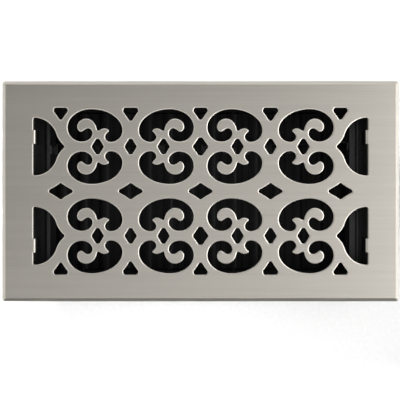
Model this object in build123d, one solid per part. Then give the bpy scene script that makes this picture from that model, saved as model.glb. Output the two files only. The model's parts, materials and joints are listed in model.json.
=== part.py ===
from build123d import *

import os
from math import acos, asin, atan2, cos, degrees, radians, sin, sqrt, tan

# Floor register: a stamped scroll faceplate over a sheet-steel damper box with linked louvres.
# Millimetres. +Z is up, X runs along the long side, and z = 0 is the floor that the rim sits on.

# Faceplate sheet
PLATE_SHEET = 1.5
BEVEL_RUN = 3.2
BEVEL_DROP = 2.2
SKIRT_HEIGHT = 1.8
PLATE_CORNER = 2.8
FIELD_CORNER = 0.8
INNER_CORNER = 0.6
BORDER_ENDS = 27.05
BORDER_SIDES = 23.2

# Pierced pattern
PATTERN_PITCH = 60.3
ROW_OFFSET = 38.5
BLOCK_DIAMOND_SHIFT = 1.75
END_EDGE_FROM_PITCH = 23.8
SIDE_EDGE_FROM_ROW = 33.55
CHORD_DEPTH = 0.15

# Tabs bent down from the end holes
TAB_FROM_ROW = 8.3
TAB_WIDTH = 11.8
TAB_DROP = 14.0
TAB_BEND = 0.5

# Damper box
WALL = 0.8
WALL_BEND = 0.8
SIDE_WALL_CLEAR = 0.55
BOX_DEPTH = 56.5
TOP_FLANGE = 7.0
CORNER_FLANGE = 12.0

# Louvres
LOUVRE_COUNT = 14
LOUVRE_SHEET = 0.8
LOUVRE_LAP = 1.4
LOUVRE_GAP = 0.4
LOUVRE_END_CLEAR = 1.0
BEAD_HALF_WIDTH = 5.0
BEAD_RISE = 2.4
BEAD_FLATS = 4
PIVOT_RADIUS = 1.5
PIVOT_LET_IN = 0.4
PIVOT_OVERHANG = 0.8
PIVOT_DEPTH = 44.0
END_STOP_LEDGE = 6.0
END_STOP_LEG = 9.0

# Linkage
LINK_RADIUS = 9.0
LINK_PIN_RADIUS = 1.2
LINK_PIN_PROUD = 0.6
LINK_FROM_ROW = 4.5
EAR_EYE_RADIUS = 2.4
BAR_SHEET = 1.0
BAR_HEIGHT = 5.0
BAR_END = 3.0
BAR_SIDE_CLEAR = 0.3
NOTCH_CLEAR = 0.6
LEVER_WIDTH = 8.0
LEVER_WEB = 9.0
LEVER_BEND = 0.5
LEVER_PIN_GAP = 3.5
LEVER_SHOULDER = 8.0
LEVER_PROUD = 1.5
LEVER_TIP_ROUND = 2.0

# Fits, and the flats that stand for a small round pin or hole
RUNNING_FIT = 0.05
ROUND_SIDES = 8
EYE_TURN = 180 / ROUND_SIDES

# Sizes that follow from those above
END_EDGE = 2 * PATTERN_PITCH + END_EDGE_FROM_PITCH
SIDE_EDGE = ROW_OFFSET + SIDE_EDGE_FROM_ROW
PLATE_LENGTH = 2 * (END_EDGE + BORDER_ENDS)
PLATE_WIDTH = 2 * (SIDE_EDGE + BORDER_SIDES)
PLATE_TOP = SKIRT_HEIGHT + BEVEL_DROP
PLATE_UNDER = PLATE_TOP - PLATE_SHEET

END_INNER = END_EDGE - TAB_BEND
SIDE_INNER = SIDE_EDGE + SIDE_WALL_CLEAR
SIDE_OUTER = SIDE_INNER + WALL
BOX_BOTTOM = PLATE_UNDER - BOX_DEPTH
END_TOP = PLATE_UNDER - TAB_BEND
TAB_YS = (-ROW_OFFSET - TAB_FROM_ROW, ROW_OFFSET + TAB_FROM_ROW)

PIVOT_Z = PLATE_UNDER - PIVOT_DEPTH
LOUVRE_PITCH = (2 * (END_INNER - END_STOP_LEDGE) + LOUVRE_LAP) / LOUVRE_COUNT
LOUVRE_HALF = (LOUVRE_PITCH + LOUVRE_LAP) / 2
LOUVRE_LENGTH = 2 * (SIDE_INNER - LOUVRE_END_CLEAR)
LOUVRE_TILT = degrees(asin((LOUVRE_SHEET + LOUVRE_GAP) / LOUVRE_PITCH))
# The pivot rod is let into the crown of the hollow bead, so the wings lie below its axis.
WING_Z = PIVOT_RADIUS - PIVOT_LET_IN + LOUVRE_SHEET / 2 - BEAD_RISE
# Closed louvres mirror each other about this height where they lap.
LAP_Z = PIVOT_Z + WING_Z * cos(radians(LOUVRE_TILT))
LOUVRE_XS = [LOUVRE_PITCH * (i - (LOUVRE_COUNT - 1) / 2) for i in range(LOUVRE_COUNT)]

# The link pin swings equally far each side of straight up between closed and fully open.
LINK_ANGLE = (90 - LOUVRE_TILT) / 2
PIN_X = -LINK_RADIUS * cos(radians(LINK_ANGLE))
PIN_Z = LINK_RADIUS * sin(radians(LINK_ANGLE))
PIN_REST_X = -LINK_RADIUS * cos(radians(LINK_ANGLE + LOUVRE_TILT))
PIN_REST_Z = LINK_RADIUS * sin(radians(LINK_ANGLE + LOUVRE_TILT))
BAR_Z = PIVOT_Z + PIN_REST_Z
LINK_Y = ROW_OFFSET + LINK_FROM_ROW


# Outlines: each node is x, y and the heading in degrees of the line as it passes, anticlockwise.

# One scroll hole, from the middle of its block: the curl is on the left and the row is at y = 0
SCROLL = (
    (13.0, 4.0, 0),
    (23.1, 13.9, 90),
    (-3.7, 32.25, 180),
    (-24.3, 16.6, 270),
    (-12.1, 4.3, 0),
    (-2.7, 11.6, 90),
    (-6.6, 15.75, 180),
    (-10.1, 14.25, 217),
    (-12.4, 12.8, 180),
    (-15.85, 17.2, 90),
    (-8.0, 24.05, 0),
    (-1.0, 19.85, 303),
    (0.85, 15.2, 279),
    (2.1, 13.6, 0),
    (4.4, 14.65, 30),
    (7.6, 15.65, 0),
    (10.9, 14.4, 322),
    (11.0, 13.0, 220),
    (8.0, 8.5, 270),
)

# Half of an end hole, from its straight side to its pointed tip; x from the last pattern line
END_HALF = (
    (END_EDGE_FROM_PITCH, 23.3, 90),
    (22.2, 24.95, 182),
    (3.6, 10.6, 253),
    (-2.65, 1.25, 223),
)

# Diamonds as a quarter outline: nose, flank start, flank end, crown
WIDE_DIAMOND = ((10.3, 0, 90), (9.1, 1.65, 153), (1.35, 6.45, 141), (0, 6.95, 180))
TALL_DIAMOND = ((5.25, 0, 90), (4.75, 1.3, 121), (1.85, 5.95, 119), (0, 6.75, 180))
CENTRE_DIAMOND = ((6.65, 0, 90), (6.0, 1.5, 124), (2.1, 7.0, 121), (0, 7.8, 180))

# Triangles along the long edges, half outlines measured inward from their flat side
EDGE_TRIANGLE = ((0, -11.4, 0), (1.85, -10.2, 59), (6.2, -3.85, 52), (6.6, -2.8, 90), (4.5, 0, 180))
END_TRIANGLE = ((0, -10.4, 0), (1.75, -9.3, 59), (5.75, -3.65, 52), (6.15, -2.7, 90), (4.2, 0, 180))


def flow(nodes):
    """A face inside a smooth line through nodes of (x, y, heading), drawn in chords close to the curve."""
    points = []
    for (ax, ay, a_heading), (bx, by, b_heading) in zip(nodes, nodes[1:] + nodes[:1]):
        start = Vector(ax, ay)
        end = Vector(bx, by)
        a_dir = Vector(cos(radians(a_heading)), sin(radians(a_heading)))
        b_dir = Vector(cos(radians(b_heading)), sin(radians(b_heading)))
        chord = end - start
        cross = a_dir.X * b_dir.Y - a_dir.Y * b_dir.X
        turn = atan2(abs(cross), a_dir.dot(b_dir))
        count = 1
        a_grip = b_grip = chord.length / 3
        if turn > radians(1):
            radius = chord.length / (2 * sin(turn / 2))
            count = max(1, round(turn / (2 * acos(1 - CHORD_DEPTH / radius))))
            a_reach = (chord.X * b_dir.Y - chord.Y * b_dir.X) / cross
            b_reach = (a_dir.X * chord.Y - a_dir.Y * chord.X) / cross
            if a_reach > 0 and b_reach > 0:
                share = 4 / 3 * tan(turn / 4) / tan(turn / 2)
                a_grip = share * a_reach
                b_grip = share * b_reach
        a_handle = start + a_dir * a_grip
        b_handle = end - b_dir * b_grip
        for step in range(count):
            t = step / count
            u = 1 - t
            points.append(start * u**3 + a_handle * 3 * u**2 * t + b_handle * 3 * u * t**2 + end * t**3)
    return make_face(Polyline(*points, close=True))


def mirrored_x(nodes):
    """The same outline on the other side of x = 0, still anticlockwise."""
    return tuple((-x, y, -heading) for x, y, heading in reversed(nodes))


def mirrored_y(nodes):
    """The same outline on the other side of y = 0, still anticlockwise."""
    return tuple((x, -y, 180 - heading) for x, y, heading in reversed(nodes))


def shifted(nodes, dx, dy):
    return tuple((x + dx, y + dy, heading) for x, y, heading in nodes)


def whole_diamond(quarter):
    half = quarter + mirrored_x(quarter)[1:]
    return half[:-1] + mirrored_y(half)[:-1]


def whole_triangle(half):
    return half + mirrored_x(half)[:-1]


def hole_outlines():
    """Every hole of the faceplate, placed."""
    outlines = []
    for column in (-1.5, -0.5, 0.5, 1.5):
        curl_left = column in (-1.5, 0.5)
        block_x = column * PATTERN_PITCH
        scroll = SCROLL if curl_left else mirrored_x(SCROLL)
        diamond_x = block_x + (BLOCK_DIAMOND_SHIFT if curl_left else -BLOCK_DIAMOND_SHIFT)
        for row_y in (-ROW_OFFSET, ROW_OFFSET):
            outlines.append(shifted(scroll, block_x, row_y))
            outlines.append(shifted(mirrored_y(scroll), block_x, row_y))
            outlines.append(shifted(whole_diamond(TALL_DIAMOND), diamond_x, row_y))
    for line in (-2, -1, 0, 1, 2):
        line_x = line * PATTERN_PITCH
        triangle = whole_triangle(EDGE_TRIANGLE if abs(line) == 1 else END_TRIANGLE)
        outlines.append(shifted(whole_diamond(WIDE_DIAMOND), line_x, 0))
        outlines.append(shifted(triangle, line_x, SIDE_EDGE))
        outlines.append(shifted(mirrored_y(triangle), line_x, -SIDE_EDGE))
    for row_y in (-ROW_OFFSET, ROW_OFFSET):
        outlines.append(shifted(whole_diamond(CENTRE_DIAMOND), 0, row_y))
        for line in (-1, 1):
            outlines.append(shifted(whole_diamond(TALL_DIAMOND), line * PATTERN_PITCH, row_y))
        end_hole = shifted(END_HALF + mirrored_y(END_HALF), 2 * PATTERN_PITCH, row_y)
        outlines.append(end_hole)
        outlines.append(mirrored_x(end_hole))
    return outlines


def tapered_block(inset, straight_top, run, top, base_corner, top_corner):
    """A rounded slab with upright sides to straight_top, then sides that lean in by run up to top."""
    length = PLATE_LENGTH - 2 * inset
    width = PLATE_WIDTH - 2 * inset
    base = RectangleRounded(length, width, base_corner)
    crown = RectangleRounded(length - 2 * run, width - 2 * run, top_corner)
    slope = loft([Pos(0, 0, straight_top) * base, Pos(0, 0, top) * crown], ruled=True)
    return extrude(base, amount=straight_top) + slope


def bent_tab():
    """One tab at the right end: the sheet turns down round its bend and lies on the end wall."""
    bend_out = TAB_BEND + PLATE_SHEET
    bend_z = PLATE_UNDER - TAB_BEND
    foot_z = PLATE_UNDER - TAB_DROP
    with BuildPart() as tab:
        with BuildSketch(Plane.XZ):
            with BuildLine():
                Polyline((END_EDGE, PLATE_TOP), (END_EDGE + WALL, PLATE_TOP))
                Polyline((END_EDGE + WALL, PLATE_TOP), (END_EDGE + WALL, PLATE_UNDER), (END_EDGE, PLATE_UNDER))
                CenterArc((END_EDGE, bend_z), TAB_BEND, 90, 90)
                Polyline((END_INNER, bend_z), (END_INNER, foot_z), (END_INNER - PLATE_SHEET, foot_z))
                Line((END_INNER - PLATE_SHEET, foot_z), (END_INNER - PLATE_SHEET, bend_z))
                CenterArc((END_EDGE, bend_z), bend_out, 180, -90)
            make_face()
        extrude(amount=TAB_WIDTH / 2, both=True)
    return tab.part


def faceplate():
    lean = atan2(BEVEL_DROP, BEVEL_RUN)
    skirt_shift = PLATE_SHEET * tan((radians(90) - lean) / 2)
    field_shift = PLATE_SHEET * tan(lean / 2)
    outside = tapered_block(0, SKIRT_HEIGHT, BEVEL_RUN, PLATE_TOP, PLATE_CORNER, FIELD_CORNER)
    inside = tapered_block(
        PLATE_SHEET,
        SKIRT_HEIGHT - skirt_shift,
        BEVEL_RUN + field_shift - PLATE_SHEET,
        PLATE_UNDER,
        INNER_CORNER,
        INNER_CORNER,
    )
    plate = outside - inside
    holes = [Pos(0, 0, PLATE_UNDER) * flow(nodes) for nodes in hole_outlines()]
    plate -= [extrude(hole, amount=PLATE_SHEET, dir=(0, 0, 1)) for hole in holes]
    tab = bent_tab()
    for y in TAB_YS:
        for turn in (0, 180):
            plate += Rot(0, 0, turn) * Pos(0, y, 0) * tab
    return plate


def pin(radius, y0, y1, x, z):
    """A small round bar along Y: its corners lie on radius."""
    section = Pos(x, z) * RegularPolygon(radius, ROUND_SIDES)
    return extrude(Plane.XZ.offset(-y1) * section, amount=y1 - y0)


def pin_hole(radius, y0, y1, x, z):
    """The cut for a pin along Y: its flats lie a running fit outside the pin's radius."""
    section = Pos(x, z) * RegularPolygon(radius + RUNNING_FIT, ROUND_SIDES, major_radius=False)
    return extrude(Plane.XZ.offset(-y1) * section, amount=y1 - y0)


def folded(points, sheet, bend):
    """The section of a folded sheet whose middle line runs through points, with bend as inside radius."""
    return trace(FilletPolyline(*points, radius=bend + sheet / 2), line_width=sheet)


def box_end():
    """Right end wall: a web with flanges folded back outside the side walls."""
    web_x = END_INNER + WALL / 2
    flange_y = SIDE_OUTER + WALL / 2
    flange_x = END_INNER - CORNER_FLANGE
    path = ((flange_x, flange_y), (web_x, flange_y), (web_x, -flange_y), (flange_x, -flange_y))
    return extrude(Pos(0, 0, BOX_BOTTOM) * folded(path, WALL, WALL_BEND), amount=END_TOP - BOX_BOTTOM)


def box_side():
    """Rear side wall: its top is turned outward under the faceplate, short of the end walls' flanges."""
    wall_y = SIDE_INNER + WALL / 2
    flange_z = PLATE_UNDER - WALL / 2
    path = ((wall_y, BOX_BOTTOM), (wall_y, flange_z), (SIDE_INNER + TOP_FLANGE, flange_z))
    length = 2 * (END_INNER - WALL_BEND)
    wall = extrude(Plane.YZ * folded(path, WALL, WALL_BEND), amount=length / 2, both=True)
    trim = 2 * (CORNER_FLANGE + WALL_BEND)
    for end_x in (-END_INNER, END_INNER):
        wall -= Pos(end_x, SIDE_OUTER + TOP_FLANGE, PLATE_UNDER) * Box(trim, 2 * TOP_FLANGE, 2 * TOP_FLANGE)
    for x in LOUVRE_XS:
        wall -= pin_hole(PIVOT_RADIUS, SIDE_INNER, SIDE_OUTER, x, PIVOT_Z)
    return wall


def end_stop():
    """Left end stop: an angle on the end wall, with its ledge where a neighbouring louvre would be."""
    leg_x = -(END_INNER - WALL / 2)
    ledge_z = LAP_Z - (LOUVRE_GAP + WALL) / 2
    path = ((leg_x, ledge_z - END_STOP_LEG), (leg_x, ledge_z), (-(END_INNER - END_STOP_LEDGE), ledge_z))
    return extrude(Plane.XZ * folded(path, WALL, WALL_BEND), amount=LOUVRE_LENGTH / 2, both=True)


def bead_arc(radius, half_width, centre_z):
    """Points in X and Z along the top of a bead, from right to left."""
    half_turn = asin(half_width / radius)
    turns = [half_turn * (1 - 2 * i / BEAD_FLATS) for i in range(BEAD_FLATS + 1)]
    return [(radius * sin(turn), centre_z + radius * cos(turn)) for turn in turns]


def louvre():
    """One pressed louvre about its pivot axis: two wings, a hollow bead over the pivot rod, and a link ear."""
    top = WING_Z + LOUVRE_SHEET / 2
    under = WING_Z - LOUVRE_SHEET / 2
    outer_radius = (BEAD_HALF_WIDTH**2 + BEAD_RISE**2) / (2 * BEAD_RISE)
    centre_z = top + BEAD_RISE - outer_radius
    inner_radius = outer_radius - LOUVRE_SHEET
    inner_half = sqrt(inner_radius**2 - (under - centre_z) ** 2)
    hollow = bead_arc(inner_radius, inner_half, centre_z)
    section = Polyline(
        (LOUVRE_HALF, under),
        (LOUVRE_HALF, top),
        *bead_arc(outer_radius, BEAD_HALF_WIDTH, centre_z),
        (-LOUVRE_HALF, top),
        (-LOUVRE_HALF, under),
        *reversed(hollow),
        close=True,
    )
    blade = extrude(Plane.XZ * make_face(section), amount=LOUVRE_LENGTH / 2, both=True)
    rod_end = SIDE_OUTER + PIVOT_OVERHANG
    blade += pin(PIVOT_RADIUS, -rod_end, rod_end, 0, 0)

    # The ear is cut from the wing and folded up, and the notch that it leaves lets the bar through.
    ear_y = LINK_Y + BAR_SHEET / 2 + BAR_SIDE_CLEAR
    notch_end = PIN_X + BAR_HEIGHT / 2 + NOTCH_CLEAR
    notch_span = notch_end + LOUVRE_HALF
    notch_width = PIN_Z + EAR_EYE_RADIUS - WING_Z
    notch = Box(2 * notch_span, notch_width, 4 * BEAD_RISE)
    blade -= Pos(notch_end - notch_span, ear_y - notch_width / 2, WING_Z) * notch
    stem = Pos(PIN_X, (WING_Z + PIN_Z) / 2) * Rectangle(2 * EAR_EYE_RADIUS, PIN_Z - WING_Z)
    eye = Pos(PIN_X, PIN_Z) * RegularPolygon(EAR_EYE_RADIUS, ROUND_SIDES, major_radius=False, rotation=EYE_TURN)
    blade += extrude(Plane.XZ.offset(-ear_y) * (stem + eye), amount=-LOUVRE_SHEET)
    pin_tip = LINK_Y - BAR_SHEET / 2 - LINK_PIN_PROUD
    blade += pin(LINK_PIN_RADIUS, pin_tip, ear_y, PIN_X, PIN_Z)
    return blade


def tie_bar():
    """The strip that joins the link pins, with a thumb lever folded up at its right end."""
    first_x = LOUVRE_XS[0] + PIN_REST_X
    last_x = LOUVRE_XS[-1] + PIN_REST_X
    lever_x = last_x + LEVER_PIN_GAP + BAR_SHEET / 2
    web_x = lever_x - LEVER_WEB
    bar_under = BAR_Z - BAR_HEIGHT / 2
    strip_start = first_x - BAR_END
    strip = Pos((strip_start + web_x + BAR_END) / 2, LINK_Y, BAR_Z) * Box(
        web_x + BAR_END - strip_start, BAR_SHEET, BAR_HEIGHT
    )
    lever_edge = LINK_Y + BAR_SHEET / 2 - LEVER_WIDTH
    path = ((web_x, LINK_Y), (lever_x, LINK_Y), (lever_x, lever_edge))
    shoulder_z = PLATE_UNDER - LEVER_SHOULDER
    foot = extrude(Pos(0, 0, bar_under) * folded(path, BAR_SHEET, LEVER_BEND), amount=shoulder_z - bar_under)
    blade_top = PLATE_TOP + LEVER_PROUD
    blade_width = LINK_Y - BAR_SHEET / 2 - LEVER_BEND - lever_edge
    blade = Pos(lever_x, lever_edge + blade_width / 2, (shoulder_z + blade_top) / 2) * Box(
        BAR_SHEET, blade_width, blade_top - shoulder_z
    )
    blade = fillet(blade.edges().filter_by(Axis.X).group_by(Axis.Z)[-1], LEVER_TIP_ROUND)
    bar = strip + foot + blade
    for x in LOUVRE_XS:
        bar -= pin_hole(LINK_PIN_RADIUS, LINK_Y - BAR_SHEET / 2, LINK_Y + BAR_SHEET / 2, x + PIN_REST_X, BAR_Z)
    return bar


def all_nodes():
    """Every node of the register by name, in place."""
    end = box_end()
    side = box_side()
    stop = end_stop()
    turned = Rot(0, 0, 180)
    nodes = {
        "faceplate": faceplate(),
        "box_end_right": end,
        "box_end_left": turned * end,
        "box_side_rear": side,
        "box_side_front": turned * side,
        "end_stop_left": stop,
        "end_stop_right": Pos(0, 0, LAP_Z) * Rot(0, 180, 0) * Pos(0, 0, -LAP_Z) * stop,
        "tie_bar": tie_bar(),
    }
    blade = Rot(0, LOUVRE_TILT, 0) * louvre()
    for number, x in enumerate(LOUVRE_XS, start=1):
        nodes[f"louvre_{number:02d}"] = Pos(x, 0, PIVOT_Z) * blade
    return nodes


os.makedirs("parts", exist_ok=True)
for name, shape in all_nodes().items():
    export_step(shape, f"parts/{name}.step")
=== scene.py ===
"""Looks of the floor register: smooth sheet-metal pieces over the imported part, light and camera."""

import json
from math import acos, asin, atan2, cos, pi, radians, sin, sqrt, tan

import bmesh
import bpy
from mathutils import Matrix, Vector


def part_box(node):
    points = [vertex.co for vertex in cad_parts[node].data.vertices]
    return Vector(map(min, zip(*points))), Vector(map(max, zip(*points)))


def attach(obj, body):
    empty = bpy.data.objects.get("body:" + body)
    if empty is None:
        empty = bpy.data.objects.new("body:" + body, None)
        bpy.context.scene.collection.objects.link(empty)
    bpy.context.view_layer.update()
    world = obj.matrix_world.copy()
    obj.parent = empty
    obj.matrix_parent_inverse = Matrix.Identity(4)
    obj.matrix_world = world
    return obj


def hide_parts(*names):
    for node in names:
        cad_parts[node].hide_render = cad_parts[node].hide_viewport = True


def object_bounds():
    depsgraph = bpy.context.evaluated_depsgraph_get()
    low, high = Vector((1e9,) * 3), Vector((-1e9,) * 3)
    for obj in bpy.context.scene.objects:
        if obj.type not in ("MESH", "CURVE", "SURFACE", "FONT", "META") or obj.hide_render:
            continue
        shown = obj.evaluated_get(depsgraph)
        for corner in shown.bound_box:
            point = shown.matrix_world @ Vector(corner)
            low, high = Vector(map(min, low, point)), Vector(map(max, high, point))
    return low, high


# Sizes of the register are in millimetres, and become metres where vertices are made.
MM = 0.001

# Faceplate sheet
PLATE_SHEET = 1.5
BEVEL_RUN = 3.2
BEVEL_DROP = 2.2
SKIRT_HEIGHT = 1.8
PLATE_TOP = SKIRT_HEIGHT + BEVEL_DROP
PLATE_UNDER = PLATE_TOP - PLATE_SHEET
PLATE_CORNER = 2.8
FIELD_CORNER = 0.8
INNER_CORNER = 0.6
CREASE_ROUND = 0.35
RIM_SOFT = 0.04

# Softened edge of every hole: how far it reaches out and down, and the rounding at both its ends
EDGE_RUN = 0.76
EDGE_DROP = 0.43
EDGE_SOFT = 0.12

# Pierced pattern: two rows, with blocks of scrolls between the pitch lines
PATTERN_PITCH = 60.3
BLOCK_COLUMNS = (-1.5, -0.5, 0.5, 1.5)
PITCH_LINES = (-2, -1, 0, 1, 2)
ROW_OFFSET = 38.5
BLOCK_DIAMOND_SHIFT = 1.75
END_EDGE_FROM_PITCH = 23.8
SIDE_EDGE_FROM_ROW = 33.55

# Tabs bent down from the end holes
TAB_FROM_ROW = 8.3
TAB_WIDTH = 11.8
TAB_DROP = 14.0
TAB_BEND = 0.5

# Spot welds that hold the box together: rings from the rim inward, as radius and height over the sheet,
# and the places up a corner as shares of its height
WALL = 0.8
WELD_PROFILE = ((2.2, -0.05), (2.0, 0.06), (1.7, 0.1), (1.3, 0.04))
WELD_SHARES = (0.2, 0.5, 0.8)
WELD_FROM_EDGE = 5.0
WELD_ON_TAB = 9.0

# Louvres and linkage
LOUVRE_SHEET = 0.8
LOUVRE_GAP = 0.4
LOUVRE_LAP = 1.4
LOUVRE_END_CLEAR = 1.0
BEAD_HALF_WIDTH = 5.0
BEAD_RISE = 2.4
PIVOT_RADIUS = 1.5
PIVOT_LET_IN = 0.4
WING_Z = PIVOT_RADIUS - PIVOT_LET_IN + LOUVRE_SHEET / 2 - BEAD_RISE
LINK_RADIUS = 9.0
LINK_PIN_RADIUS = 1.2
LINK_PIN_PROUD = 0.6
LINK_FROM_ROW = 4.5
EAR_EYE_RADIUS = 2.4
BAR_SHEET = 1.0
BAR_HEIGHT = 5.0
BAR_SIDE_CLEAR = 0.3
NOTCH_CLEAR = 0.6
PIN_CHAMFER = 0.2

# Fineness of the meshes: steps round a corner, across a bead and round a bar, how far a chord may leave
# its curve, and the turn in degrees below which a line counts as straight
CORNER_STEPS = 6
BEAD_STEPS = 20
ROUND_STEPS = 28
ROUND_ANGLES = [2 * pi * i / ROUND_STEPS for i in range(ROUND_STEPS)]
CHORD_DEPTH = 0.012
STRAIGHT_TURN = 1

# Shading: edges that turn by more than this many degrees stay sharp, and large faces set the normals
SHARP_ANGLE = 32
LARGE_FACE_WEIGHT = 100

# Brushed nickel: tints, streaks as their stretch along X, Y and Z, and the relief's depth in metres
NICKEL_DARK = (0.60, 0.568, 0.510)
NICKEL_LIGHT = (0.685, 0.650, 0.588)
NICKEL_ROUGHNESS = (0.36, 0.46)
NICKEL_GRAIN = 0.45
NICKEL_RELIEF = 0.06
NICKEL_RELIEF_DEPTH = 0.00002
FINE_STRETCH = (14.0, 2600.0, 2600.0)
FINE_DETAIL = 4.0
FINE_SHARE = 0.6
BROAD_STRETCH = (3.0, 260.0, 260.0)
BROAD_DETAIL = 3.0
BROAD_SHARE = 0.4
STREAK_ROUGHNESS = 0.6

# Black enamel: orange peel and clouds as noise, and the relief's depth in metres
PEEL_SCALE = 900.0
PEEL_DETAIL = 2.0
CLOUD_SCALE = 45.0
CLOUD_DETAIL = 5.0
ENAMEL_RED = 0.98
ENAMEL_RELIEF = 0.08
ENAMEL_RELIEF_DEPTH = 0.0001

# Ground sheets: grain as noise, the floor's half width in metres, and the lift above the floor of the grey
# sheet of painted shade under the box
GROUND_SCALE = 300.0
GROUND_DETAIL = 3.0
GROUND_ROUGHNESS = 0.8
FLOOR_REACH = 12.0
SHADE_SHEET_LIFT = 0.1

# The part of the noise that is put to use
NOISE_LOW = 0.3
NOISE_HIGH = 0.7

# Light panels: name, place and size in metres, how bright they look, and the narrow ones' spread in degrees
PANELS = (
    ("right_mid", (0.9, 0.0, 0.45), (1.6, 0.4), 4.7),
    ("right_high", (0.7, 0.0, 0.8), (1.6, 0.4), 1.18),
    ("left_low", (-1.0, 0.0, 0.1), (1.6, 0.3), 0.8),
    ("left_mid", (-0.9, 0.0, 0.45), (1.6, 0.4), 1.37),
    ("rear_low", (0.0, 1.0, 0.1), (1.6, 0.3), 0.45),
    ("rear_mid", (0.0, 0.9, 0.45), (1.6, 0.4), 1.39),
    ("front_high", (0.0, -0.7, 0.8), (1.6, 0.4), 1.35),
    ("overhead", (0.0, 0.0, 1.1), (0.7, 0.7), 0.5),
    ("overhead_front", (0.0, -0.4, 1.0), (1.2, 0.5), 0.16),
)
PANELS_OFF_FLOOR = ("right_mid", "left_low", "left_mid")
FLOOR_PANELS = (
    ("floor_sky", (0.0, 0.0, 6.0), (14.0, 14.0), 0.5),
    ("floor_rear", (-0.3, 0.72, 0.5), (0.4, 0.3), 2.3, 40),
    ("floor_front", (-0.3, -0.72, 0.5), (0.4, 0.3), 1.5, 40),
)
STOP_PANEL = ("well", (0.0, 0.0, 1.1), (0.7, 0.7), 7.0)
WORLD_STRENGTH = 0.1

# Camera: the plate's place in the picture in pixels, then its height over the plate, sensor and near limit
PICTURE_PIXELS = 400
PLATE_LEFT_PIXEL = 2.3
PLATE_RIGHT_PIXEL = 398.85
PLATE_CENTRE_ROW = 191.25
CAMERA_HEIGHT = 600.0
SENSOR = 36.0
CLIP_START = 10.0

# Outlines: each node is x, y and the heading in degrees of the line as it passes, anticlockwise.
SCROLL = (
    (13.0, 4.0, 0),
    (23.1, 13.9, 90),
    (-3.7, 32.25, 180),
    (-24.3, 16.6, 270),
    (-12.1, 4.3, 0),
    (-2.7, 11.6, 90),
    (-6.6, 15.75, 180),
    (-10.1, 14.25, 217),
    (-12.4, 12.8, 180),
    (-15.85, 17.2, 90),
    (-8.0, 24.05, 0),
    (-1.0, 19.85, 303),
    (0.85, 15.2, 279),
    (2.1, 13.6, 0),
    (4.4, 14.65, 30),
    (7.6, 15.65, 0),
    (10.9, 14.4, 322),
    (11.0, 13.0, 220),
    (8.0, 8.5, 270),
)
END_HALF = (
    (END_EDGE_FROM_PITCH, 23.3, 90),
    (22.2, 24.95, 182),
    (3.6, 10.6, 253),
    (-2.65, 1.25, 223),
)
WIDE_DIAMOND = ((10.3, 0, 90), (9.1, 1.65, 153), (1.35, 6.45, 141), (0, 6.95, 180))
TALL_DIAMOND = ((5.25, 0, 90), (4.75, 1.3, 121), (1.85, 5.95, 119), (0, 6.75, 180))
CENTRE_DIAMOND = ((6.65, 0, 90), (6.0, 1.5, 124), (2.1, 7.0, 121), (0, 7.8, 180))
EDGE_TRIANGLE = ((0, -11.4, 0), (1.85, -10.2, 59), (6.2, -3.85, 52), (6.6, -2.8, 90), (4.5, 0, 180))
END_TRIANGLE = ((0, -10.4, 0), (1.75, -9.3, 59), (5.75, -3.65, 52), (6.15, -2.7, 90), (4.2, 0, 180))


def mirrored_x(nodes):
    """The same outline on the other side of x = 0, still anticlockwise."""
    return tuple((-x, y, -heading) for x, y, heading in reversed(nodes))


def mirrored_y(nodes):
    """The same outline on the other side of y = 0, still anticlockwise."""
    return tuple((x, -y, 180 - heading) for x, y, heading in reversed(nodes))


def shifted(nodes, dx, dy):
    """The same outline, moved."""
    return tuple((x + dx, y + dy, heading) for x, y, heading in nodes)


def whole_diamond(quarter):
    """A diamond from the quarter between its right and its upper tip."""
    half = quarter + mirrored_x(quarter)[1:]
    return half[:-1] + mirrored_y(half)[:-1]


def whole_triangle(half):
    """A triangle from its right half, which starts at the tip."""
    return half + mirrored_x(half)[:-1]


def hole_outlines():
    """Every hole of the faceplate, placed."""
    side_edge = ROW_OFFSET + SIDE_EDGE_FROM_ROW
    outlines = []
    for column in BLOCK_COLUMNS:
        curl_left = column in BLOCK_COLUMNS[::2]
        block_x = column * PATTERN_PITCH
        scroll = SCROLL if curl_left else mirrored_x(SCROLL)
        diamond_x = block_x + (BLOCK_DIAMOND_SHIFT if curl_left else -BLOCK_DIAMOND_SHIFT)
        for row_y in (-ROW_OFFSET, ROW_OFFSET):
            outlines.append(shifted(scroll, block_x, row_y))
            outlines.append(shifted(mirrored_y(scroll), block_x, row_y))
            outlines.append(shifted(whole_diamond(TALL_DIAMOND), diamond_x, row_y))
    for line in PITCH_LINES:
        line_x = line * PATTERN_PITCH
        triangle = whole_triangle(EDGE_TRIANGLE if abs(line) == 1 else END_TRIANGLE)
        outlines.append(shifted(whole_diamond(WIDE_DIAMOND), line_x, 0))
        outlines.append(shifted(triangle, line_x, side_edge))
        outlines.append(shifted(mirrored_y(triangle), line_x, -side_edge))
    for row_y in (-ROW_OFFSET, ROW_OFFSET):
        outlines.append(shifted(whole_diamond(CENTRE_DIAMOND), 0, row_y))
        for line in (-1, 1):
            outlines.append(shifted(whole_diamond(TALL_DIAMOND), line * PATTERN_PITCH, row_y))
        end_hole = shifted(END_HALF + mirrored_y(END_HALF), 2 * PATTERN_PITCH, row_y)
        outlines.append(end_hole)
        outlines.append(mirrored_x(end_hole))
    return outlines


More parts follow.
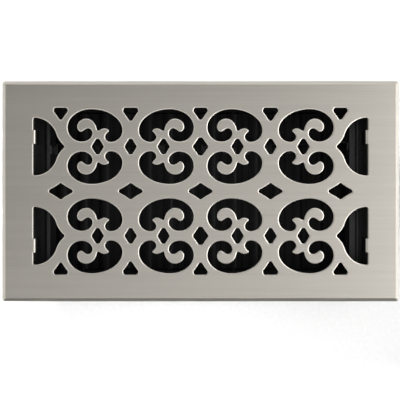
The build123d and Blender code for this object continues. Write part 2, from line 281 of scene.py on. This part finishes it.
def smooth_line(nodes):
    """Points along the curve through nodes, each with the direction that leads out of the hole."""
    points = []
    for (ax, ay, a_heading), (bx, by, b_heading) in zip(nodes, nodes[1:] + nodes[:1]):
        start = Vector((ax, ay))
        end = Vector((bx, by))
        a_dir = Vector((cos(radians(a_heading)), sin(radians(a_heading))))
        b_dir = Vector((cos(radians(b_heading)), sin(radians(b_heading))))
        chord = end - start
        cross = a_dir.cross(b_dir)
        turn = atan2(abs(cross), a_dir.dot(b_dir))
        count = 1
        a_grip = b_grip = chord.length / 3
        if turn > radians(STRAIGHT_TURN):
            radius = chord.length / (2 * sin(turn / 2))
            count = max(2, round(turn / (2 * acos(1 - CHORD_DEPTH / radius))))
            a_reach = chord.cross(b_dir) / cross
            b_reach = a_dir.cross(chord) / cross
            if a_reach > 0 and b_reach > 0:
                # The share of the way to the tangents' meeting point that gives a round arc
                share = 4 / 3 * tan(turn / 4) / tan(turn / 2)
                a_grip = share * a_reach
                b_grip = share * b_reach
        a_handle = start + a_dir * a_grip
        b_handle = end - b_dir * b_grip
        for step in range(count):
            t = step / count
            u = 1 - t
            place = start * u**3 + a_handle * 3 * u**2 * t + b_handle * 3 * u * t**2 + end * t**3
            along = (a_handle - start) * u**2 + (b_handle - a_handle) * 2 * u * t
            along += (end - b_handle) * t**2
            along.normalize()
            points.append((place, Vector((along.y, -along.x))))
    return points


def rounded_rectangle(half_x, half_y, radius):
    """Points round a rectangle with rounded corners, anticlockwise."""
    points = []
    for quarter, (sx, sy) in enumerate(((1, 1), (-1, 1), (-1, -1), (1, -1))):
        for step in range(CORNER_STEPS + 1):
            angle = radians(90 * (quarter + step / CORNER_STEPS))
            x = sx * (half_x - radius) + radius * cos(angle)
            y = sy * (half_y - radius) + radius * sin(angle)
            points.append((x, y))
    return points


def add_ring(bm, points, z):
    """A closed ring of vertices at height z."""
    return [bm.verts.new((p[0] * MM, p[1] * MM, z * MM)) for p in points]


def ring_edges(bm, ring):
    """The edges round a ring, made where they are missing."""
    edges = []
    for i in range(len(ring)):
        ends = (ring[i - 1], ring[i])
        edges.append(bm.edges.get(ends) or bm.edges.new(ends))
    return edges


def bridge(bm, lower, upper):
    """Quads from one ring to the next, which has as many vertices."""
    for i in range(len(lower)):
        j = (i + 1) % len(lower)
        bm.faces.new((lower[i], lower[j], upper[j], upper[i]))


def bridge_all(bm, rings):
    """Quads between every ring and the one after it."""
    for ring, after in zip(rings, rings[1:]):
        bridge(bm, ring, after)


def extrude_section(bm, section, low, high):
    """A prism along Y from low to high, whose outline is given as x and z."""
    ends = [[bm.verts.new(Vector((x, y, z)) * MM) for x, z in section] for y in (low, high)]
    bridge(bm, *ends)
    bm.faces.new(ends[0])
    bm.faces.new(ends[1])


def smooth_by_angle(mesh):
    """Smooth shading that stops at the sharp edges."""
    mesh.polygons.foreach_set("use_smooth", [True] * len(mesh.polygons))
    mesh.set_sharp_from_angle(angle=radians(SHARP_ANGLE))


def keep_flats_flat(piece):
    """Lets the large faces set the normals, so that shading doesn't creep over them."""
    weighted = piece.modifiers.new("flat_faces_lead", "WEIGHTED_NORMAL")
    weighted.keep_sharp = True
    weighted.weight = LARGE_FACE_WEIGHT


def new_piece(name, bm, material, body):
    """Turns the mesh into a piece that rides on body."""
    bmesh.ops.recalc_face_normals(bm, faces=bm.faces)
    mesh = bpy.data.meshes.new(name)
    bm.to_mesh(mesh)
    bm.free()
    smooth_by_angle(mesh)
    mesh.materials.append(material)
    piece = bpy.data.objects.new(name, mesh)
    bpy.context.scene.collection.objects.link(piece)
    keep_flats_flat(piece)
    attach(piece, body)
    return piece


def faceplate_mesh(half_x, half_y):
    """The stamped sheet: field, softened holes, mitred border and the folded rim under it."""
    lean = atan2(BEVEL_DROP, BEVEL_RUN)
    skirt_shift = PLATE_SHEET * tan((pi / 2 - lean) / 2)
    field_shift = PLATE_SHEET * tan(lean / 2)
    crease = CREASE_ROUND * tan(lean / 2)

    # The border from the field outward, down and back under it: inset, height and corner radius
    profile = [
        (BEVEL_RUN + crease, PLATE_TOP, FIELD_CORNER),
        (BEVEL_RUN, PLATE_TOP - crease * sin(lean) / 4, FIELD_CORNER),
        (BEVEL_RUN - crease * cos(lean), PLATE_TOP - crease * sin(lean), FIELD_CORNER),
        (CREASE_ROUND * cos(lean) / 2, SKIRT_HEIGHT + CREASE_ROUND * sin(lean) / 2, PLATE_CORNER),
        (RIM_SOFT, SKIRT_HEIGHT, PLATE_CORNER),
        (0, SKIRT_HEIGHT - CREASE_ROUND / 2, PLATE_CORNER),
        (0, 0, PLATE_CORNER),
        (PLATE_SHEET, 0, INNER_CORNER),
        (PLATE_SHEET, SKIRT_HEIGHT - skirt_shift, INNER_CORNER),
        (BEVEL_RUN + field_shift, PLATE_UNDER, INNER_CORNER),
    ]
    bm = bmesh.new()
    border = []
    for inset, z, radius in profile:
        border.append(add_ring(bm, rounded_rectangle(half_x - inset, half_y - inset, radius), z))
    bridge_all(bm, border)
    top_edges = ring_edges(bm, border[0])
    under_edges = ring_edges(bm, border[-1])

    # A hole's edge from the field inward and down: distance out of the hole and depth
    edge = [
        (EDGE_RUN + EDGE_SOFT, 0),
        (EDGE_RUN, EDGE_SOFT / 4),
        (EDGE_RUN - EDGE_SOFT, EDGE_SOFT * EDGE_DROP / EDGE_RUN),
        (EDGE_SOFT, EDGE_DROP - EDGE_SOFT * EDGE_DROP / EDGE_RUN),
        (EDGE_SOFT / 4, EDGE_DROP),
        (0, EDGE_DROP + EDGE_SOFT),
        (0, PLATE_SHEET),
    ]
    for nodes in hole_outlines():
        line = smooth_line(nodes)
        rings = [add_ring(bm, [p + n * out for p, n in line], PLATE_TOP - down) for out, down in edge]
        bridge_all(bm, rings)
        top_edges += ring_edges(bm, rings[0])
        under_edges += ring_edges(bm, rings[-1])
    bmesh.ops.triangle_fill(bm, use_beauty=True, edges=top_edges, normal=(0, 0, 1))
    bmesh.ops.triangle_fill(bm, use_beauty=True, edges=under_edges, normal=(0, 0, -1))
    return bm


def tabs_mesh():
    """Four tabs: each turns down from the straight side of an end hole and lies on the end wall."""
    end_edge = 2 * PATTERN_PITCH + END_EDGE_FROM_PITCH
    bend_z = PLATE_UNDER - TAB_BEND
    bend_out = TAB_BEND + PLATE_SHEET
    foot = PLATE_UNDER - TAB_DROP
    turns = [pi / 2 * (1 + i / CORNER_STEPS) for i in range(CORNER_STEPS + 1)]
    outer = [(end_edge + bend_out * cos(a), bend_z + bend_out * sin(a)) for a in turns]
    inner = [(end_edge + TAB_BEND * cos(a), bend_z + TAB_BEND * sin(a)) for a in turns]
    start = end_edge + EDGE_RUN + EDGE_SOFT
    section = [(start, PLATE_TOP)] + outer
    section += [(outer[-1][0], foot), (inner[-1][0], foot)]
    section += list(reversed(inner)) + [(start, PLATE_UNDER)]
    bm = bmesh.new()
    for side in (-1, 1):
        placed = [(side * x, z) for x, z in section]
        for row in (-1, 1):
            middle = row * (ROW_OFFSET + TAB_FROM_ROW)
            extrude_section(bm, placed, middle - TAB_WIDTH / 2, middle + TAB_WIDTH / 2)
    return bm


def turned_bar(bm, radius, y0, y1, x, z):
    """A round bar along Y with small chamfers at its ends."""
    stations = (
        (y0, radius - PIN_CHAMFER),
        (y0 + PIN_CHAMFER, radius),
        (y1 - PIN_CHAMFER, radius),
        (y1, radius - PIN_CHAMFER),
    )
    rings = []
    for y, r in stations:
        circle = [(x + r * cos(a), z + r * sin(a)) for a in ROUND_ANGLES]
        rings.append([bm.verts.new((px * MM, y * MM, pz * MM)) for px, pz in circle])
    bridge_all(bm, rings)
    bm.faces.new(rings[0])
    bm.faces.new(rings[-1])


def blade_columns(half_width, notch_end):
    """Pairs of points on a blade's upper and lower skin, across it, and how many lie before notch_end."""
    top = WING_Z + LOUVRE_SHEET / 2
    under = top - LOUVRE_SHEET
    radius = (BEAD_HALF_WIDTH**2 + BEAD_RISE**2) / (2 * BEAD_RISE)
    centre_z = top + BEAD_RISE - radius
    inner_radius = radius - LOUVRE_SHEET
    inner_half = sqrt(inner_radius**2 - (under - centre_z) ** 2)
    notch_share = notch_end / BEAD_HALF_WIDTH
    shares = sorted([notch_share] + [2 * i / BEAD_STEPS - 1 for i in range(BEAD_STEPS + 1)])
    columns = [((-half_width, top), (-half_width, under))]
    for share in shares:
        upper_turn = asin(BEAD_HALF_WIDTH / radius * share)
        lower_turn = asin(inner_half / inner_radius * share)
        upper = (radius * sin(upper_turn), centre_z + radius * cos(upper_turn))
        lower = (inner_radius * sin(lower_turn), centre_z + inner_radius * cos(lower_turn))
        columns.append((upper, lower))
    columns.append(((half_width, top), (half_width, under)))
    return columns, 1 + shares.index(notch_share)


def add_blade(bm, columns, rows, notch_columns):
    """A closed sheet over columns and three rows of cells, with the middle row cut back to the notch."""
    upper, lower = skins = ([], [])
    for layer, skin in enumerate(skins):
        for y in rows:
            line = [pair[layer] for pair in columns]
            skin.append([bm.verts.new((x * MM, y * MM, z * MM)) for x, z in line])
    kept = {
        (r, c)
        for r in range(len(rows) - 1)
        for c in range(len(columns) - 1)
        if not (r == 1 and c < notch_columns)
    }
    for r, c in kept:
        corners = ((r, c), (r, c + 1), (r + 1, c + 1), (r + 1, c))
        for skin in skins:
            bm.faces.new([skin[i][j] for i, j in corners])
        beside = ((r - 1, c), (r, c + 1), (r + 1, c), (r, c - 1))
        for neighbour, (ar, ac), (br, bc) in zip(beside, corners, corners[1:] + corners[:1]):
            if neighbour not in kept:
                bm.faces.new((upper[ar][ac], upper[br][bc], lower[br][bc], lower[ar][ac]))
    loose = [v for v in bm.verts if not v.link_faces]
    bmesh.ops.delete(bm, geom=loose, context="VERTS")


def louvre_mesh(half_width, half_length, rod_end):
    """One louvre about its pivot axis, lying flat, and the tilt at which it closes against the next."""
    tilt = asin((LOUVRE_SHEET + LOUVRE_GAP) / (2 * half_width - LOUVRE_LAP))
    link_angle = (pi / 2 - tilt) / 2
    pin_x = -LINK_RADIUS * cos(link_angle)
    pin_z = LINK_RADIUS * sin(link_angle)
    link_y = ROW_OFFSET + LINK_FROM_ROW
    ear_y = link_y + BAR_SHEET / 2 + BAR_SIDE_CLEAR
    notch_y = ear_y - (pin_z + EAR_EYE_RADIUS - WING_Z)
    columns, notch_columns = blade_columns(half_width, pin_x + BAR_HEIGHT / 2 + NOTCH_CLEAR)

    bm = bmesh.new()
    add_blade(bm, columns, (-half_length, notch_y, ear_y, half_length), notch_columns)
    turned_bar(bm, PIVOT_RADIUS, -rod_end, rod_end, 0, 0)
    turned_bar(bm, LINK_PIN_RADIUS, link_y - BAR_SHEET / 2 - LINK_PIN_PROUD, ear_y, pin_x, pin_z)
    eye = ROUND_ANGLES[: ROUND_STEPS // 2 + 1]
    ear = [(pin_x + EAR_EYE_RADIUS * cos(a), pin_z + EAR_EYE_RADIUS * sin(a)) for a in eye]
    ear += [(pin_x - EAR_EYE_RADIUS, WING_Z), (pin_x + EAR_EYE_RADIUS, WING_Z)]
    extrude_section(bm, ear, ear_y, ear_y + LOUVRE_SHEET)
    return bm, tilt


def add_louvres(material):
    """A smooth louvre in place of each CAD one."""
    names = sorted(name for name in frame["nodes"] if name.startswith("louvre_"))
    pivots = {j["child"]: j["pos_m"] for j in frame["record"]["behaviour"]["joints"]}
    wall_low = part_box("box_side_rear")[0]
    rod_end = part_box(names[0])[1][1] / MM
    half_length = wall_low[1] / MM - LOUVRE_END_CLEAR
    pitch = (pivots[names[1]][0] - pivots[names[0]][0]) / MM
    for name in names:
        bm, tilt = louvre_mesh((pitch + LOUVRE_LAP) / 2, half_length, rod_end)
        bm.transform(Matrix.Translation(pivots[name]) @ Matrix.Rotation(tilt, 4, "Y"))
        piece = new_piece(name + "_blade", bm, material, name)
        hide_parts(name)


def add_faceplate(material, tab_foot_material):
    """The plate in place of the CAD one, and its tabs, which take the black material below the bend."""
    half_x, half_y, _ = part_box("faceplate")[1]
    sheet = faceplate_mesh(half_x / MM, half_y / MM)
    plate = new_piece("scroll_plate", sheet, material, "frame")
    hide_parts("faceplate")
    tabs = new_piece("plate_tabs", tabs_mesh(), material, "frame")
    tabs.data.materials.append(tab_foot_material)
    # Below the bend, where the tabs reach down under the plate into the box, they are black.
    black_below = (PLATE_UNDER - TAB_BEND) * MM
    for face in tabs.data.polygons:
        face.material_index = int(face.center.z < black_below)


def weld_mark(bm, centre, out):
    """A shallow pressed ring with a dished middle, on a face at centre that looks along out."""
    turn = Vector(out).to_track_quat("Z", "Y")
    rings = []
    for radius, height in WELD_PROFILE:
        points = [Vector((radius * cos(a), radius * sin(a), height)) for a in ROUND_ANGLES]
        rings.append([bm.verts.new((Vector(centre) + turn @ point) * MM) for point in points])
    bridge_all(bm, rings)
    bm.faces.new(rings[0])
    bm.faces.new(rings[-1])


def add_welds(material):
    """Marks on the lapped corners, on the end walls over the tabs, and under the side walls' flanges."""
    low, high = [Vector(corner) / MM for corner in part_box("box_end_right")]
    flange_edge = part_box("box_side_rear")[1][1] / MM
    flange_y = flange_edge - WELD_PROFILE[0][0] - WALL / 2
    bm = bmesh.new()
    for x in (-1, 1):
        for y in (-1, 1):
            for share in WELD_SHARES:
                z = low.z + share * (high.z - low.z)
                weld_mark(bm, (x * (low.x + WELD_FROM_EDGE), y * high.y, z), (0, y, 0))
            tab_y = y * (ROW_OFFSET + TAB_FROM_ROW)
            weld_mark(bm, (x * high.x, tab_y, PLATE_UNDER - WELD_ON_TAB), (x, 0, 0))
    for y in (-1, 1):
        for line in PITCH_LINES:
            weld_mark(bm, (line * PATTERN_PITCH, y * flange_y, PLATE_UNDER - WALL), (0, 0, -1))
    new_piece("weld_marks", bm, material, "frame")


def node(tree, kind, **settings):
    """A shader node with its properties and socket values set."""
    made = tree.nodes.new(kind)
    for key, value in settings.items():
        if hasattr(made, key):
            setattr(made, key, value)
        else:
            made.inputs[key.replace("_", " ")].default_value = value
    return made


def streaks(tree, stretch, detail):
    """Noise drawn out along X, as a brushing belt leaves it."""
    coords = node(tree, "ShaderNodeTexCoord")
    mapping = node(tree, "ShaderNodeMapping", Scale=stretch)
    noise = node(tree, "ShaderNodeTexNoise", Scale=1.0, Detail=detail, Roughness=STREAK_ROUGHNESS)
    tree.links.new(coords.outputs["Object"], mapping.inputs["Vector"])
    tree.links.new(mapping.outputs["Vector"], noise.inputs["Vector"])
    return noise.outputs["Fac"]


def speckles(tree, scale, detail):
    """Noise that is the same in all directions."""
    coords = node(tree, "ShaderNodeTexCoord")
    noise = node(tree, "ShaderNodeTexNoise", Scale=scale, Detail=detail)
    tree.links.new(coords.outputs["Object"], noise.inputs["Vector"])
    return noise.outputs["Fac"]


def in_range(tree, noise, low, high):
    """The noise spread from its usual range to low and high."""
    spread = node(tree, "ShaderNodeMapRange", From_Min=NOISE_LOW, From_Max=NOISE_HIGH)
    spread.inputs["To Min"].default_value = low
    spread.inputs["To Max"].default_value = high
    tree.links.new(noise, spread.inputs["Value"])
    return spread.outputs["Result"]


def set_tint(tree, shader, share, dark, light):
    """Colours the shader from dark to light as share goes from 0 to 1."""
    tint = node(tree, "ShaderNodeMix", data_type="RGBA")
    tint.inputs["A"].default_value = (*dark, 1)
    tint.inputs["B"].default_value = (*light, 1)
    tree.links.new(share, tint.inputs["Factor"])
    tree.links.new(tint.outputs["Result"], shader.inputs["Base Color"])


def set_relief(tree, shader, height, strength, depth):
    """Gives the shader a fine relief."""
    bump = node(tree, "ShaderNodeBump", Strength=strength, Distance=depth)
    tree.links.new(height, bump.inputs["Height"])
    tree.links.new(bump.outputs["Normal"], shader.inputs["Normal"])


def new_material(name):
    """A material with its node tree and its shader."""
    material = bpy.data.materials.new(name)
    material.use_nodes = True
    tree = material.node_tree
    return material, tree, tree.nodes["Principled BSDF"]


def brushed_nickel():
    """Metal with fine and broad streaks along X."""
    material, tree, shader = new_material("brushed_nickel")
    fine = streaks(tree, FINE_STRETCH, FINE_DETAIL)
    broad = streaks(tree, BROAD_STRETCH, BROAD_DETAIL)
    both = node(tree, "ShaderNodeMath", operation="ADD")
    tree.links.new(in_range(tree, fine, 0.0, FINE_SHARE), both.inputs[0])
    tree.links.new(in_range(tree, broad, 0.0, BROAD_SHARE), both.inputs[1])
    set_tint(tree, shader, both.outputs["Value"], NICKEL_DARK, NICKEL_LIGHT)
    set_relief(tree, shader, fine, NICKEL_RELIEF, NICKEL_RELIEF_DEPTH)
    tree.links.new(in_range(tree, fine, *NICKEL_ROUGHNESS), shader.inputs["Roughness"])
    along = node(tree, "ShaderNodeCombineXYZ", X=1.0)
    tree.links.new(along.outputs["Vector"], shader.inputs["Tangent"])
    shader.inputs["Metallic"].default_value = 1.0
    shader.inputs["Anisotropic"].default_value = NICKEL_GRAIN
    return material


def black_enamel(name, dark, light, smooth, dull, shine):
    """Stoved paint: clouds between two tones and two roughnesses, and a little orange peel."""
    material, tree, shader = new_material(name)
    peel = speckles(tree, PEEL_SCALE, PEEL_DETAIL)
    cloud = speckles(tree, CLOUD_SCALE, CLOUD_DETAIL)
    tones = [(ENAMEL_RED * tone, tone, tone) for tone in (dark, light)]
    set_tint(tree, shader, in_range(tree, cloud, 0.0, 1.0), *tones)
    set_relief(tree, shader, peel, ENAMEL_RELIEF, ENAMEL_RELIEF_DEPTH)
    tree.links.new(in_range(tree, cloud, smooth, dull), shader.inputs["Roughness"])
    shader.inputs["Specular IOR Level"].default_value = shine
    return material


def matt_ground(name, dark, light):
    """A dull grey with a fine grain."""
    material, tree, shader = new_material(name)
    grain = speckles(tree, GROUND_SCALE, GROUND_DETAIL)
    set_tint(tree, shader, in_range(tree, grain, 0.0, 1.0), (dark,) * 3, (light,) * 3)
    shader.inputs["Roughness"].default_value = GROUND_ROUGHNESS
    return material


def add_ground(name, half_x, half_y, z, material):
    """A flat sheet under the register, which isn't part of it: the floor, or the grey sheet of painted
    shade under the box.
    """
    bm = bmesh.new()
    corners = ((-1, -1), (1, -1), (1, 1), (-1, 1))
    bm.faces.new([bm.verts.new((x * half_x, y * half_y, 0)) for x, y in corners])
    mesh = bpy.data.meshes.new(name)
    bm.to_mesh(mesh)
    bm.free()
    mesh.materials.append(material)
    ground = bpy.data.objects.new(name, mesh)
    ground.location.z = z
    bpy.context.scene.collection.objects.link(ground)
    return ground


def add_panel(name, place, size, radiance, spread=180):
    """A soft panel that faces the plate, given by how bright it looks."""
    light = bpy.data.lights.new(name, "AREA")
    light.shape = "RECTANGLE"
    light.size, light.size_y = size
    light.energy = radiance * pi * size[0] * size[1]
    light.spread = radians(spread)
    panel = bpy.data.objects.new(name, light)
    panel.location = place
    panel.rotation_euler = (-Vector(place)).to_track_quat("-Z", "Y").to_euler()
    bpy.context.scene.collection.objects.link(panel)
    return panel


def receivers(name, objects):
    """A collection of the objects that a panel's light is limited to."""
    collection = bpy.data.collections.new(name)
    for item in objects:
        collection.objects.link(item)
    return collection


def add_light(floor):
    """Panels round and over the plate, and others that light the floor or the end stops alone."""
    panels = {row[0]: add_panel(*row) for row in PANELS}
    all_but_floor = receivers("all_but_floor", [floor])
    all_but_floor.collection_objects[0].light_linking.link_state = "EXCLUDE"
    for name in PANELS_OFF_FLOOR:
        panels[name].light_linking.receiver_collection = all_but_floor
    floor_only = receivers("floor_only", [floor])
    for row in FLOOR_PANELS:
        add_panel(*row).light_linking.receiver_collection = floor_only
    stops = [frame["nodes"][name] for name in ("end_stop_left", "end_stop_right")]
    add_panel(*STOP_PANEL).light_linking.receiver_collection = receivers("stops_only", stops)
    world = bpy.data.worlds.new("studio")
    world.use_nodes = True
    background = world.node_tree.nodes["Background"]
    background.inputs["Color"].default_value = (1, 1, 1, 1)
    background.inputs["Strength"].default_value = WORLD_STRENGTH
    bpy.context.scene.world = world


def add_camera():
    """Straight above the plate, with the plate framed as in the photograph."""
    low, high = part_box("faceplate")
    pixel = (high[0] - low[0]) / (PLATE_RIGHT_PIXEL - PLATE_LEFT_PIXEL)
    picture = pixel * PICTURE_PIXELS
    lens = bpy.data.cameras.new("camera")
    lens.sensor_width = SENSOR
    lens.lens = SENSOR * (CAMERA_HEIGHT + BEVEL_DROP) * MM / picture
    lens.clip_start = CLIP_START * MM
    lens.shift_x = 0.5 - (PLATE_LEFT_PIXEL + PLATE_RIGHT_PIXEL) / 2 / PICTURE_PIXELS
    lens.shift_y = PLATE_CENTRE_ROW / PICTURE_PIXELS - 0.5
    camera = bpy.data.objects.new("camera", lens)
    camera.location = (0, 0, high[2] + CAMERA_HEIGHT * MM)
    bpy.context.scene.collection.objects.link(camera)
    bpy.context.scene.camera = camera


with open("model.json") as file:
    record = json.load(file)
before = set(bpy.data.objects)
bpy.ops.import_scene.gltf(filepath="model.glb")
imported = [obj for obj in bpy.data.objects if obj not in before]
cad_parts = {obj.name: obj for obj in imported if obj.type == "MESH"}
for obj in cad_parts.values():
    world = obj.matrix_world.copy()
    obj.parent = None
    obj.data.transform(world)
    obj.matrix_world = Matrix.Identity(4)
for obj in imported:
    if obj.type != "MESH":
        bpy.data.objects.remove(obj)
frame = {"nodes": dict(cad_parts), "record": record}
cad_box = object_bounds()
nickel = brushed_nickel()
# Two copies of one black paint: the copy on the louvres, linkage and tab feet is darker than real black
# paint, painted shade
# for the inside of the box, and the box's copy is lighter, painted light on its end walls.
enamel = black_enamel("black_enamel", dark=0.005, light=0.010, smooth=0.4, dull=0.56, shine=0.18)
box_enamel_painted_light = black_enamel("box_enamel_painted_light", dark=0.012, light=0.02, smooth=0.27, dull=0.33, shine=0.4)
for name, part in frame["nodes"].items():
    part.data.materials.clear()
    part.data.materials.append(box_enamel_painted_light if name.startswith(("box_", "end_")) else enamel)
add_faceplate(nickel, enamel)
add_louvres(enamel)
add_welds(box_enamel_painted_light)
# A mid-grey sheet on the floor under the box, far darker than the floor: painted shade where the box's
# shadow falls.
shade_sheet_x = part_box("end_stop_right")[1][0]
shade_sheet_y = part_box("box_side_rear")[0][1]
floor_z = cad_box[0][2]
painted_shade_grey = matt_ground("painted_shade_grey", dark=0.36, light=0.44)
add_ground("painted_shade_sheet", shade_sheet_x, shade_sheet_y, floor_z + SHADE_SHEET_LIFT * MM, painted_shade_grey)
pale_floor = matt_ground("pale_floor", dark=0.88, light=0.92)
add_light(add_ground("floor", FLOOR_REACH, FLOOR_REACH, floor_z, pale_floor))
add_camera()
bpy.context.scene.view_settings.view_transform = "Standard"
